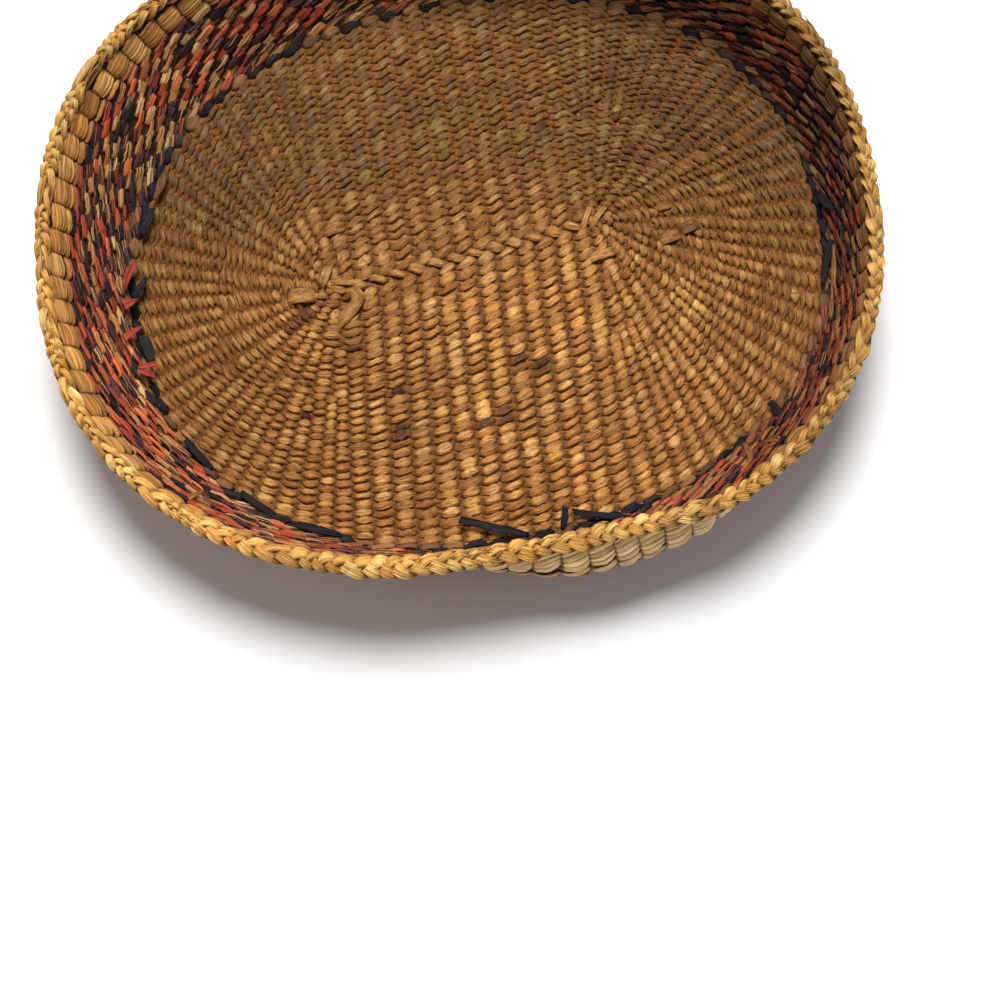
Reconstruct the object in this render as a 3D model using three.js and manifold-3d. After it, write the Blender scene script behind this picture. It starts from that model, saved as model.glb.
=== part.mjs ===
// Oval tray basket, woven on stakes, with a three-strand braided rim.
// Millimetres, Z up. The origin is under the middle of the rim, on the surface that the basket stands on.

import * as THREE from 'three';
import { mergeVertices } from 'three/addons/utils/BufferGeometryUtils.js';
import Module from 'manifold-3d';

const wasm = await Module();
wasm.setup();

// Rim, measured over the braid
const rimLength = 288;
const rimWidth = 244;
const rimSquareness = 2.3;
const overallHeight = 42;

// Base oval at the turn, which a hand weaver never gets quite square to the rim
const baseLength = 251;
const baseWidth = 208;
const baseSquareness = 2.2;
const baseShift = 7;
const baseTurn = THREE.MathUtils.degToRad(8);
const baseCrown = 2;
const turnReach = 8;

// Line in the middle of the base where the weaving starts
const spineLength = 94;
const spineShiftX = 2;
const spineShiftY = 2.4;
const spineTurn = THREE.MathUtils.degToRad(10.7);

// Stakes: flat stems with a diamond section
const stakeWidth = 2.6;
const stakeThickness = 1.8;
const crossStakes = 6;
const hubReach = 6.5;

// Weft: flat strips that pass inside and outside of the stakes by turns
const weftThickness = 1.2;
const weaveClearance = 0.3;
const rowGap = 0.5;
const baseRows = 15;
const rowsBeforeFan = 2;
const rowsBeforeFolds = 7;
const dyedRows = 3;
const borderRows = 2;
const stripEnd = 3;
const hubStitchLength = 5.6;
const hubStitchInside = 1.5;
const hubStitchOutside = 4.5;
const footWear = 0.5;

// Rim braid
const braidStrands = 3;
const braidStrandSteps = 6;
const braidWidth = 8;
const braidStrandWidth = 2.4;
const braidStrandHeight = 2.4;
const braidClearance = 0.4;
const braidPeriods = 36;

const colours = {
  straw: '#bd9350',
  paleStraw: '#c9a25c',
  stake: '#a98a55',
  black: '#2b2529',
  brick: '#8c3b2c',
  plum: '#5c3038',
  tan: '#b08a52',
  braid: '#d3a95d',
};

const up = new THREE.Vector3(0, 0, 1);

// Distance of the weft's middle from the stakes' middle, and of its outer face
const weftOffset = stakeThickness / 2 + weaveClearance + weftThickness / 2;
const weftCrest = weftOffset + weftThickness / 2;

// The braid's strands swing side to side once, and up and down twice, in each period
const strandSwing = (braidWidth - braidStrandWidth) / 2;
const crossingSine = Math.sin(Math.PI / 3);
const strandLift = (braidStrandHeight + braidClearance) / 2 / crossingSine;
const braidHeight = 2 * strandLift * crossingSine + braidStrandHeight;

// Levels: the base's middle surface at the turn, and the top of the stakes under the braid
const baseLevel = weftCrest - footWear;
const wallTop = overallHeight - braidHeight - weaveClearance - stakeThickness / 2;

// A squared oval, walked counter-clockwise from its start angle at an even pace
class Oval extends THREE.Curve {
  constructor(length, width, squareness, centre, turn, startAngle) {
    super();
    Object.assign(this, { length, width, squareness, centre, turn, startAngle });
    this.arcLengthDivisions = 2000;
  }

  getPoint(t, target = new THREE.Vector3()) {
    const angle = t * 2 * Math.PI + this.startAngle;
    const c = Math.cos(angle);
    const s = Math.sin(angle);
    const power = 2 / this.squareness;
    const x = (this.length / 2) * Math.sign(c) * Math.abs(c) ** power;
    const y = (this.width / 2) * Math.sign(s) * Math.abs(s) ** power;
    return target.set(x, y, 0).applyAxisAngle(up, this.turn).add(this.centre);
  }
}

const baseOval = new Oval(
  baseLength, baseWidth, baseSquareness, new THREE.Vector3(baseShift, 0, baseLevel), baseTurn, 0,
);
const wallTopOval = new Oval(
  rimLength - braidWidth, rimWidth - braidWidth, rimSquareness,
  new THREE.Vector3(0, 0, wallTop), 0, baseTurn,
);
const braidOval = new Oval(
  rimLength - braidWidth, rimWidth - braidWidth, rimSquareness,
  new THREE.Vector3(0, 0, overallHeight - braidHeight / 2), 0, 0,
);

// Ribs are numbered counter-clockwise from the middle of the right-hand fan: fan, far side, fan, near side
const hubRibs = [-3, 3];
const fanRibs = [-6, 0, 6];
const foldedPairs = [[-8, -7], [-5, -4], [-2, -1], [1, 2], [4, 5], [7, 8]];
const halfFanRibs = Math.max(...foldedPairs.flat());
const fanCount = 2 * halfFanRibs + 1;
const ribCount = 2 * (fanCount + crossStakes);
const halfTurn = fanCount + crossStakes;

const wrap = (rib) => (rib + ribCount) % ribCount;

const basePoints = baseOval.getSpacedPoints(ribCount);
const topPoints = wallTopOval.getSpacedPoints(ribCount);

function spinePoint(along) {
  const point = new THREE.Vector3(along, 0, 0).applyAxisAngle(up, spineTurn);
  return point.add(new THREE.Vector3(spineShiftX, spineShiftY, baseLevel + baseCrown));
}

// Place of a cross stake along the spine, from the right-hand end
const crossPlace = (stake) => (spineLength / 2) * (1 - (2 * stake + 1) / crossStakes);

// Each rib runs straight from its start to the turn, bends up, and runs straight to the rim
function makeRib(index) {
  const place = wrap(index + halfFanRibs);
  const inSide = place % halfTurn >= fanCount;
  const farHalf = place < halfTurn;
  let along = farHalf ? spineLength / 2 : -spineLength / 2;
  if (inSide) {
    const sideStake = (place % halfTurn) - fanCount;
    along = crossPlace(farHalf ? sideStake : crossStakes - 1 - sideStake);
  }
  const start = spinePoint(along);
  const corner = basePoints[wrap(index)];
  const end = topPoints[wrap(index)];
  const baseDirection = corner.clone().sub(start).normalize();
  const wallDirection = end.clone().sub(corner).normalize();
  const turnStart = corner.clone().addScaledVector(baseDirection, -turnReach);
  const turnEnd = corner.clone().addScaledVector(wallDirection, turnReach);
  const turnMiddle = new THREE.QuadraticBezierCurve3(turnStart, corner, turnEnd).getPoint(0.5);
  const baseRun = turnStart.distanceTo(start);
  const wallRun = end.distanceTo(turnEnd);
  return {
    inSide, start, turnStart, turnMiddle, turnEnd, end, baseDirection, wallDirection, baseRun, wallRun,
  };
}

const ribs = Array.from({ length: ribCount }, (unused, index) => makeRib(index));
const ribAt = (index) => ribs[wrap(index)];

// Normal of the woven surface at a corner of a rib, towards the inside of the basket
function surfaceNormal(index, corner, direction) {
  const along = ribAt(index + 1)[corner].clone().sub(ribAt(index - 1)[corner]);
  return direction.clone().cross(along).normalize();
}

for (let index = 0; index < ribCount; index += 1) {
  const rib = ribs[index];
  const turnDirection = rib.turnEnd.clone().sub(rib.turnStart);
  rib.turnMiddleNormal = surfaceNormal(index, 'turnMiddle', turnDirection);
  rib.wallNormal = surfaceNormal(index, 'end', rib.wallDirection);
}

// A place on a rib with its normal: on the base, in the turn, or on the wall, in millimetres along each
function onBase(rib, distance) {
  return { point: rib.start.clone().addScaledVector(rib.baseDirection, distance), normal: up.clone() };
}

function onTurn(rib, part, distance) {
  const lower = part === 0;
  const from = lower ? rib.turnStart : rib.turnMiddle;
  const to = lower ? rib.turnMiddle : rib.turnEnd;
  const fromNormal = lower ? up : rib.turnMiddleNormal;
  const toNormal = lower ? rib.turnMiddleNormal : rib.wallNormal;
  const share = distance / from.distanceTo(to);
  return { point: from.clone().lerp(to, share), normal: fromNormal.clone().lerp(toNormal, share) };
}

function onWall(rib, distance) {
  const point = rib.turnEnd.clone().addScaledVector(rib.wallDirection, distance);
  return { point, normal: rib.wallNormal.clone() };
}

// Room on the base for the folds of the hairpin stakes, between two rows
const foldRoom = stakeWidth + 2 * weaveClearance;

function basePitch(rib) {
  if (rib.inSide) {
    return (rib.baseRun - foldRoom) / (baseRows + 0.5);
  }
  return (rib.baseRun - foldRoom - hubReach) / baseRows;
}

// Distance along a rib of the line between two base rows
function rowLine(rib, rowsInside, pastFolds) {
  const first = rib.inSide ? basePitch(rib) / 2 : hubReach;
  return first + rowsInside * basePitch(rib) + (pastFolds ? foldRoom : 0);
}

// Closed geometry through sections with the same number of corners, as a ring or with two end caps
function skin(sections, closed) {
  const sides = sections[0].length;
  const positions = sections.flat().flatMap((corner) => corner.toArray());
  const spans = closed ? sections.length : sections.length - 1;
  const triangles = [];
  for (let span = 0; span < spans; span += 1) {
    const near = span * sides;
    const far = ((span + 1) % sections.length) * sides;
    for (let side = 0; side < sides; side += 1) {
      const next = (side + 1) % sides;
      triangles.push(near + side, far + side, far + next);
      triangles.push(near + side, far + next, near + next);
    }
  }
  if (!closed) {
    const last = (sections.length - 1) * sides;
    for (let side = 1; side < sides - 1; side += 1) {
      triangles.push(0, side, side + 1);
      triangles.push(last, last + side + 1, last + side);
    }
  }
  const geometry = new THREE.BufferGeometry();
  geometry.setAttribute('position', new THREE.Float32BufferAttribute(positions, 3));
  geometry.setIndex(triangles);
  return geometry;
}

// Section of a weft strip between two places of a rib, on the given side of the stake
function weftSection(lower, upper, side) {
  const inner = side * weftOffset + weftThickness / 2;
  const outer = side * weftOffset - weftThickness / 2;
  return [
    lower.point.clone().addScaledVector(lower.normal, inner),
    lower.point.clone().addScaledVector(lower.normal, outer),
    upper.point.clone().addScaledVector(upper.normal, outer),
    upper.point.clone().addScaledVector(upper.normal, inner),
  ];
}

// One row: it changes sides at each stake that it meets, and the next row starts on the other side
function weftRow(stakesMet, rowNumber, edges) {
  const sections = stakesMet.map((index, order) => {
    const side = (order + rowNumber) % 2 === 0 ? 1 : -1;
    const [lower, upper] = edges(ribAt(index), index);
    return weftSection(lower, upper, side);
  });
  return skin(sections, true);
}

function toSolid(geometry) {
  const bare = new THREE.BufferGeometry();
  bare.setAttribute('position', geometry.getAttribute('position').clone());
  bare.setIndex(geometry.getIndex() ? geometry.getIndex().clone() : null);
  const merged = mergeVertices(bare);
  return new wasm.Manifold(new wasm.Mesh({
    numProp: 3,
    vertProperties: new Float32Array(merged.getAttribute('position').array),
    triVerts: new Uint32Array(merged.getIndex().array),
  }));
}

function toGeometry(solid) {
  const mesh = solid.getMesh();
  const geometry = new THREE.BufferGeometry();
  geometry.setAttribute('position', new THREE.Float32BufferAttribute(mesh.vertProperties, 3));
  geometry.setIndex(new THREE.Uint32BufferAttribute(mesh.triVerts, 1));
  return geometry;
}

// The lowest rows are worn flat where the basket stands
const floorDepth = 20;
const floorBlock = new THREE.BoxGeometry(2 * rimLength, 2 * rimLength, floorDepth);
floorBlock.translate(0, 0, -floorDepth / 2);
const floorSolid = toSolid(floorBlock);

function wornFlat(geometry) {
  geometry.computeBoundingBox();
  if (geometry.boundingBox.min.z >= 0) {
    return geometry;
  }
  return toGeometry(toSolid(geometry).subtract(floorSolid));
}

// Stake along a line of places: a diamond section, mitred where the stake is folded
function stakeAlong(places) {
  const sections = places.map((place, order) => {
    const before = places[Math.max(order - 1, 0)].point;
    const after = places[Math.min(order + 1, places.length - 1)].point;
    const arriving = place.point.clone().sub(before).normalize();
    const leaving = after.clone().sub(place.point).normalize();
    const travel = arriving.clone().add(leaving).normalize();
    const isEnd = order === 0 || order === places.length - 1;
    const mitre = isEnd || !place.folded ? 1 : 1 / travel.dot(leaving);
    const normal = place.normal.clone().normalize();
    const across = normal.clone().cross(travel).normalize().multiplyScalar((stakeWidth / 2) * mitre);
    const thick = normal.multiplyScalar(stakeThickness / 2);
    return [
      place.point.clone().add(across),
      place.point.clone().add(thick),
      place.point.clone().sub(across),
      place.point.clone().sub(thick),
    ];
  });
  return skin(sections, false);
}

// Places of one leg of a stake, from the given distance on the base up to the rim
function legPlaces(index, from) {
  const rib = ribAt(index);
  return [
    onBase(rib, from),
    onBase(rib, rib.baseRun),
    { point: rib.turnMiddle.clone(), normal: rib.turnMiddleNormal.clone() },
    onWall(rib, 0),
    onWall(rib, rib.wallRun),
  ];
}

function foldedStake(first, second, from) {
  const legs = [legPlaces(first, from(ribAt(first))), legPlaces(second, from(ribAt(second)))];
  legs.forEach((leg) => {
    leg[0].folded = true;
  });
  return stakeAlong([...legs[0].reverse(), ...legs[1]]);
}

function hubStake(middle) {
  const [firstLeg, secondLeg] = hubRibs.map((rib) => legPlaces(middle + rib, 0));
  firstLeg[0].folded = true;
  return stakeAlong([...firstLeg.reverse(), ...secondLeg.slice(1)]);
}

function crossStake(stake) {
  const far = legPlaces(halfFanRibs + 1 + stake, 0);
  const near = legPlaces(-halfFanRibs - 1 - stake, 0);
  return stakeAlong([...far.reverse(), ...near.slice(1)]);
}

// Strip along the spine, woven through the cross stakes
function starterStrip() {
  const first = crossPlace(0);
  const places = [first + stripEnd];
  for (let stake = 0; stake < crossStakes; stake += 1) {
    places.push(crossPlace(stake));
  }
  places.push(-first - stripEnd);
  const across = new THREE.Vector3(0, 1, 0).applyAxisAngle(up, spineTurn);
  const sections = places.map((along, order) => {
    const stake = THREE.MathUtils.clamp(order - 1, 0, crossStakes - 1);
    const side = stake % 2 === 0 ? 1 : -1;
    const farWidth = basePitch(ribAt(halfFanRibs + 1 + stake)) / 2 - rowGap / 2;
    const nearWidth = basePitch(ribAt(-halfFanRibs - 1 - stake)) / 2 - rowGap / 2;
    const middle = spinePoint(along);
    const near = { point: middle.clone().addScaledVector(across, -nearWidth), normal: up };
    const far = { point: middle.clone().addScaledVector(across, farWidth), normal: up };
    return weftSection(near, far, side);
  });
  return skin(sections, false);
}

// Wide stitch over the fold of a hub stake, across the spine, which reaches further out than in
function hubStitch(end) {
  const outward = new THREE.Vector3(end, 0, 0).applyAxisAngle(up, spineTurn);
  const across = outward.clone().cross(up);
  const middle = spinePoint((end * spineLength) / 2);
  const sections = [-hubStitchLength / 2, hubStitchLength / 2].map((distance) => {
    const point = middle.clone().addScaledVector(across, distance);
    const lower = { point: point.clone().addScaledVector(outward, -hubStitchInside), normal: up };
    const upper = { point: point.clone().addScaledVector(outward, hubStitchOutside), normal: up };
    return weftSection(lower, upper, 1);
  });
  return skin(sections, false);
}

// One strand of the braid
function braidStrand(strand) {
  const count = braidPeriods * braidStrandSteps;
  const points = braidOval.getSpacedPoints(count).slice(0, count);
  const sections = points.map((point, order) => {
    const after = points[(order + 1) % count];
    const before = points[(order + count - 1) % count];
    const outward = after.clone().sub(before).cross(up).normalize();
    const phase = ((order + 0.5) / braidStrandSteps + strand / braidStrands) * 2 * Math.PI;
    const middle = point.clone().addScaledVector(outward, strandSwing * Math.sin(phase));
    middle.addScaledVector(up, strandLift * Math.sin(2 * phase));
    return [
      middle.clone().addScaledVector(outward, braidStrandWidth / 2),
      middle.clone().addScaledVector(up, braidStrandHeight / 2),
      middle.clone().addScaledVector(outward, -braidStrandWidth / 2),
      middle.clone().addScaledVector(up, -braidStrandHeight / 2),
    ];
  });
  return skin(sections, true);
}

// Faces are turned to point outwards
function facingOut(geometry) {
  const position = geometry.getAttribute('position');
  const index = geometry.getIndex();
  const corners = [new THREE.Vector3(), new THREE.Vector3(), new THREE.Vector3()];
  let volume = 0;
  for (let face = 0; face < index.count; face += 3) {
    corners.forEach((corner, order) => corner.fromBufferAttribute(position, index.getX(face + order)));
    volume += corners[0].dot(corners[1].clone().cross(corners[2]));
  }
  if (volume > 0) {
    return geometry;
  }
  for (let face = 0; face < index.count; face += 3) {
    const second = index.getX(face + 1);
    index.setX(face + 1, index.getX(face + 2));
    index.setX(face + 2, second);
  }
  return geometry;
}

const basket = new THREE.Group();
basket.name = 'basket';

function addPiece(name, geometry, colour) {
  const material = new THREE.MeshStandardMaterial({ color: colour, roughness: 0.75, metalness: 0 });
  const finished = facingOut(geometry);
  finished.computeVertexNormals();
  const mesh = new THREE.Mesh(finished, material);
  mesh.name = name;
  basket.add(mesh);
}

const number = (count) => String(count).padStart(2, '0');

// Stakes
for (let stake = 0; stake < crossStakes; stake += 1) {
  addPiece(`cross_stake_${number(stake + 1)}`, crossStake(stake), colours.stake);
}
const ends = { right: 0, left: halfTurn };
for (const [end, middle] of Object.entries(ends)) {
  addPiece(`${end}_hub_stake`, hubStake(middle), colours.stake);
  addPiece(`${end}_hub_stitch`, hubStitch(middle === 0 ? 1 : -1), colours.tan);
  fanRibs.forEach((rib, order) => {
    const index = middle + rib;
    const from = rowLine(ribAt(index), rowsBeforeFan, false) + rowGap / 2;
    addPiece(`${end}_fan_stake_${order + 1}`, stakeAlong(legPlaces(index, from)), colours.stake);
  });
  foldedPairs.forEach(([first, second], order) => {
    const foldLine = (rib) => rowLine(rib, rowsBeforeFolds, false) + foldRoom / 2;
    const fold = foldedStake(middle + first, middle + second, foldLine);
    addPiece(`${end}_folded_stake_${order + 1}`, fold, colours.stake);
  });
}

// Stakes that a base row meets, which grow in number as stakes are added
function stakesMetBy(row) {
  const met = [];
  for (let index = -halfFanRibs; index < ribCount - halfFanRibs; index += 1) {
    const place = (index + halfFanRibs) % halfTurn;
    const fanPlace = place - halfFanRibs;
    const isCross = place >= fanCount;
    const isHub = hubRibs.includes(fanPlace);
    const isFan = row > rowsBeforeFan && fanRibs.includes(fanPlace);
    if (isCross || isHub || isFan || row > rowsBeforeFolds) {
      met.push(index);
    }
  }
  return met;
}

// Away from the fans, the row before the folds also fills the room that the folds take
function fillsFoldRoom(index) {
  const place = wrap(index + halfFanRibs) % halfTurn;
  return place > fanCount && place < halfTurn - 1;
}

addPiece('starter_strip', starterStrip(), colours.paleStraw);
for (let row = 1; row <= baseRows; row += 1) {
  const edges = (rib, index) => {
    const pastFolds = row > rowsBeforeFolds;
    const wide = pastFolds || (row === rowsBeforeFolds && fillsFoldRoom(index));
    const lower = rowLine(rib, row - 1, pastFolds) + rowGap / 2;
    const upper = rowLine(rib, row, wide) - rowGap / 2;
    return [onBase(rib, lower), onBase(rib, upper)];
  };
  const colour = row % 2 === 0 ? colours.straw : colours.paleStraw;
  addPiece(`base_row_${number(row)}`, wornFlat(weftRow(stakesMetBy(row), row, edges)), colour);
}

// Rows above the base meet every stake
const everyStake = stakesMetBy(baseRows);
const turnParts = ['dark_turn_row', 'dyed_row_01'];
turnParts.forEach((name, part) => {
  const edges = (rib) => {
    const from = part === 0 ? rib.turnStart : rib.turnMiddle;
    const to = part === 0 ? rib.turnMiddle : rib.turnEnd;
    const run = from.distanceTo(to);
    return [onTurn(rib, part, rowGap / 2), onTurn(rib, part, run - rowGap / 2)];
  };
  const geometry = weftRow(everyStake, baseRows + 1 + part, edges);
  addPiece(name, wornFlat(geometry), part === 0 ? colours.black : colours.brick);
});

// The top row's crests end level with the tops of the stakes
function wovenRun(rib) {
  const crestRise = weftCrest * rib.wallNormal.z - stakeThickness / 2;
  return rib.wallRun - Math.max(crestRise, 0) / rib.wallDirection.z;
}

const wallRows = dyedRows + borderRows;
for (let row = 0; row < wallRows; row += 1) {
  const edges = (rib) => {
    const pitch = wovenRun(rib) / wallRows;
    return [onWall(rib, row * pitch + rowGap / 2), onWall(rib, (row + 1) * pitch - rowGap / 2)];
  };
  const geometry = weftRow(everyStake, baseRows + turnParts.length + 1 + row, edges);
  if (row < dyedRows) {
    addPiece(`dyed_row_${number(row + 2)}`, geometry, row % 2 === 0 ? colours.plum : colours.brick);
  } else {
    addPiece(`border_row_${number(row - dyedRows + 1)}`, geometry, colours.tan);
  }
}

// Rim
for (let strand = 0; strand < braidStrands; strand += 1) {
  addPiece(`braid_strand_${strand + 1}`, braidStrand(strand), colours.braid);
}

export default basket;
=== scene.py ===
import math

import bmesh
import bpy
import numpy as np
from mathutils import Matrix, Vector


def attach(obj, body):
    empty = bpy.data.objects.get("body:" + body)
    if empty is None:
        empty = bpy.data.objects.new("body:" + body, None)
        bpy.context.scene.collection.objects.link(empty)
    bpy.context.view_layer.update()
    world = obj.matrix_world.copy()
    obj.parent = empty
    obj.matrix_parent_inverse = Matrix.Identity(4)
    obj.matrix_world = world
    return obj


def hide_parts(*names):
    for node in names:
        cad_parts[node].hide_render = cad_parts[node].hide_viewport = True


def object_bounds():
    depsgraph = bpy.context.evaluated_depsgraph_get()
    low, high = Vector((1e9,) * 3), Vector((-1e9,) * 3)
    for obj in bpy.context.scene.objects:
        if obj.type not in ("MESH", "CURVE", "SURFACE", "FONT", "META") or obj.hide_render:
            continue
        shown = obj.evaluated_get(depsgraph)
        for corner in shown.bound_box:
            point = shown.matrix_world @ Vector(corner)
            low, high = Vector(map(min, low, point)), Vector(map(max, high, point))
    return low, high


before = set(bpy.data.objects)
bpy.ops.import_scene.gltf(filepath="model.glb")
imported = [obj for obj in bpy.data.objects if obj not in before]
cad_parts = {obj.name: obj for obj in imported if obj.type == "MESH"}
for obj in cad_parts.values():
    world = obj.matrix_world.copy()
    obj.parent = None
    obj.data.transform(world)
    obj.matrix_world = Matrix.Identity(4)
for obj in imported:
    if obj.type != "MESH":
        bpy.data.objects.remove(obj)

cadLow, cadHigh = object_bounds()
print("frame loaded", [round(v, 4) for v in cadHigh - cadLow])

scene = bpy.context.scene
nodeNames = sorted(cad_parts)


def nodesLike(*starts):
    return [name for name in nodeNames if name.startswith(starts)]


# Shape of the basket, in metres
shape = {
    "braidWidth": 0.008,
    "braidHeight": 0.0052,
    "rimSquareness": 2.3,
    "baseLength": 0.251,
    "baseWidth": 0.208,
    "baseSquareness": 2.2,
    "baseShift": 0.007,
    "baseTurn": math.radians(8),
    "baseLevel": 0.0019,
    "crown": 0.002,
    "turnReach": 0.008,
    "wallTop": 0.0370,
    "spineLength": 0.094,
    "spineShift": (0.002, 0.0024),
    "spineTurn": math.radians(10.7),
    "sideRibs": 13,
    "rightFan": (19, 17),
    "leftFan": (17, 14),
    "ovalSteps": 4000,
    "turnSteps": 24,
    "ribSway": 0.0006,
    "swayStart": 0.02,
    "standLevel": 0.00005,
    "kneeReach": 0.0100,
    "kneeBend": 0.0035,
    "kneeSteps": 8,
    "kneeOut": 0.0090,
    "kneeFrom": (math.radians(-98), math.radians(-74)),
    "kneeTo": (math.radians(-60), math.radians(-43)),
    "rollIn": 0.0043,
    "rollDrop": 0.0006,
    "rollFrom": (math.radians(-114), math.radians(-76)),
    "rollTo": (math.radians(-69), math.radians(-51)),
    "rightFrom": (math.radians(-60), math.radians(-36)),
    "rightTo": (math.radians(40), math.radians(75)),
    "nearFrom": (math.radians(-158), math.radians(-138)),
    "nearTo": (math.radians(-114), math.radians(-98)),
}
rimLength = cadHigh.x - cadLow.x
rimWidth = cadHigh.y - cadLow.y
upward = np.array([0.0, 0.0, 1.0])
perMetre = 1000  # millimetres, for the places that are given in them


# Where each rib starts on the spine and its place in its fan, counter-clockwise from the right fan's middle
def ribPlan():
    half = shape["spineLength"] / 2
    sides = [half * (1 - (2 * step + 1) / shape["sideRibs"]) for step in range(shape["sideRibs"])]
    plan = []
    for end, fan in ((1, shape["rightFan"]), (-1, shape["leftFan"])):
        plan += [(end * half, abs(offset)) for offset in range(-fan[0], fan[1] + 1)]
        plan += [(end * along, -1) for along in sides]
    first = shape["rightFan"][0]
    return np.array(plan[first:] + plan[:first])


ribAlongs, ribOffsets = ribPlan().T
ribTotal = len(ribAlongs)
ribInFan = ribOffsets >= 0


def unit(vectors):
    return vectors / np.linalg.norm(vectors, axis=-1, keepdims=True)


# Smooth unevenness of hand work, as waves: seed, count, range of cycles round the basket, most along a rib
handWork = {
    "sway": (41, 9, (5, 22), 26.0),
    "rows": (43, 9, (4, 20), 0.16),
    "braid": (47, 7, (9, 45), 0.0),
}


def handWaves(seed, count, ribCycles, runCycles):
    rng = np.random.default_rng(seed)
    return [(int(rng.integers(*ribCycles)), rng.uniform(-runCycles, runCycles), rng.uniform(0, 2 * np.pi))
            for _ in range(count)]


def unevenness(waves, rib, run):
    turns = [(cycles * rib / ribTotal + pace * run, phase) for cycles, pace, phase in waves]
    return sum(np.sin(2 * np.pi * turn + phase) for turn, phase in turns) / math.sqrt(len(waves))


swayWaves = handWaves(*handWork["sway"])
rowWaves = handWaves(*handWork["rows"])


# Points at an even pace round a squared oval, counter-clockwise from its start angle
def ovalPoints(count, length, width, squareness, centre, turn, start):
    angles = start + np.linspace(0, 2 * np.pi, shape["ovalSteps"] + 1)
    cosines, sines = np.cos(angles), np.sin(angles)
    x = length / 2 * np.sign(cosines) * np.abs(cosines) ** (2 / squareness)
    y = width / 2 * np.sign(sines) * np.abs(sines) ** (2 / squareness)
    turnedX = x * math.cos(turn) - y * math.sin(turn) + centre[0]
    turnedY = x * math.sin(turn) + y * math.cos(turn) + centre[1]
    arc = np.concatenate([[0], np.cumsum(np.hypot(np.diff(turnedX), np.diff(turnedY)))])
    pace = np.linspace(0, arc[-1], count, endpoint=False)
    level = np.full(count, centre[2])
    return np.stack([np.interp(pace, arc, turnedX), np.interp(pace, arc, turnedY), level], axis=1)


def spinePoint(along):
    turn = shape["spineTurn"]
    x = shape["spineShift"][0] + along * math.cos(turn)
    y = shape["spineShift"][1] + along * math.sin(turn)
    return np.array([x, y, shape["baseLevel"] + shape["crown"]])


def smoothStep(value, low, high):
    share = np.clip((value - low) / (high - low), 0, 1)
    return share * share * (3 - 2 * share)


# How far points lie within a stretch of the rim, by their angle: the near right stretch has rolled in with
# use, so the border bulges and its outside shows, and at the right end and the near left the border is slim
def inStretch(points, stretch):
    angle = np.arctan2(points[..., 1], points[..., 0])
    return smoothStep(angle, *shape[stretch + "From"]) * (1 - smoothStep(angle, *shape[stretch + "To"]))


def bendLine(before, corner, after, reach, steps):
    start = corner - unit(corner - before) * reach
    end = corner + unit(after - corner) * reach
    share = np.linspace(0, 1, steps + 1)[:, None]
    return (1 - share) ** 2 * start + 2 * share * (1 - share) * corner + share ** 2 * end


# Ribs run from the spine over the base, through the turn and up the wall, with a slight knee below the border
def makeRibs():
    corners = ovalPoints(ribTotal, shape["baseLength"], shape["baseWidth"], shape["baseSquareness"],
                         (shape["baseShift"], 0, shape["baseLevel"]), shape["baseTurn"], 0)
    tops = ovalPoints(ribTotal, rimLength - shape["braidWidth"], rimWidth - shape["braidWidth"],
                      shape["rimSquareness"], (0, 0, shape["wallTop"]), 0, shape["baseTurn"])
    lines = []
    baseRuns = []
    for rib in range(ribTotal):
        start = spinePoint(ribAlongs[rib])
        corner, top = corners[rib], tops[rib]
        outwards = unit((top - corner) * np.array([1, 1, 0]))
        bulge = outwards * shape["kneeOut"] * inStretch(top, "knee")
        knee = top - unit(top - corner) * shape["kneeReach"] + bulge
        top = top - (outwards * shape["rollIn"] + upward * shape["rollDrop"]) * inStretch(top, "roll")
        turn = bendLine(start, corner, knee, shape["turnReach"], shape["turnSteps"])
        roll = bendLine(corner, knee, top, shape["kneeBend"], shape["kneeSteps"])
        lines.append(np.concatenate([[start], turn, roll, [top]]))
        baseRuns.append(np.linalg.norm(turn[0] - start))
    lines = np.array(lines)
    arcs = np.concatenate([np.zeros((ribTotal, 1)),
                           np.cumsum(np.linalg.norm(np.diff(lines, axis=1), axis=2), axis=1)], axis=1)
    onward = unit(np.gradient(lines, axis=1))
    around = np.roll(lines, -1, axis=0) - np.roll(lines, 1, axis=0)
    normals = np.cross(onward, around)
    normals[:, 0] = upward
    return lines, arcs, unit(normals), np.array(baseRuns)


ribLines, ribArcs, ribNormals, ribBaseRuns = makeRibs()
ribLengths = ribArcs[:, -1]
turnLengths = ribArcs[:, shape["turnSteps"] + 1] - ribBaseRuns


# Point and normal at a distance along a rib, with the sideways sway of hand work
def onRib(rib, distance):
    def read(line):
        return np.stack([np.interp(distance, ribArcs[rib], line[:, axis]) for axis in range(3)], axis=-1)

    sideways = unit(np.cross(upward, ribLines[rib, 1] - ribLines[rib, 0]))
    fromHub = np.clip(distance / shape["swayStart"], 0, 1)
    sway = shape["ribSway"] * unevenness(swayWaves, rib, distance) * fromHub
    return read(ribLines[rib]) + sideways * np.asarray(sway)[..., None], unit(read(ribNormals[rib]))


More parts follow.
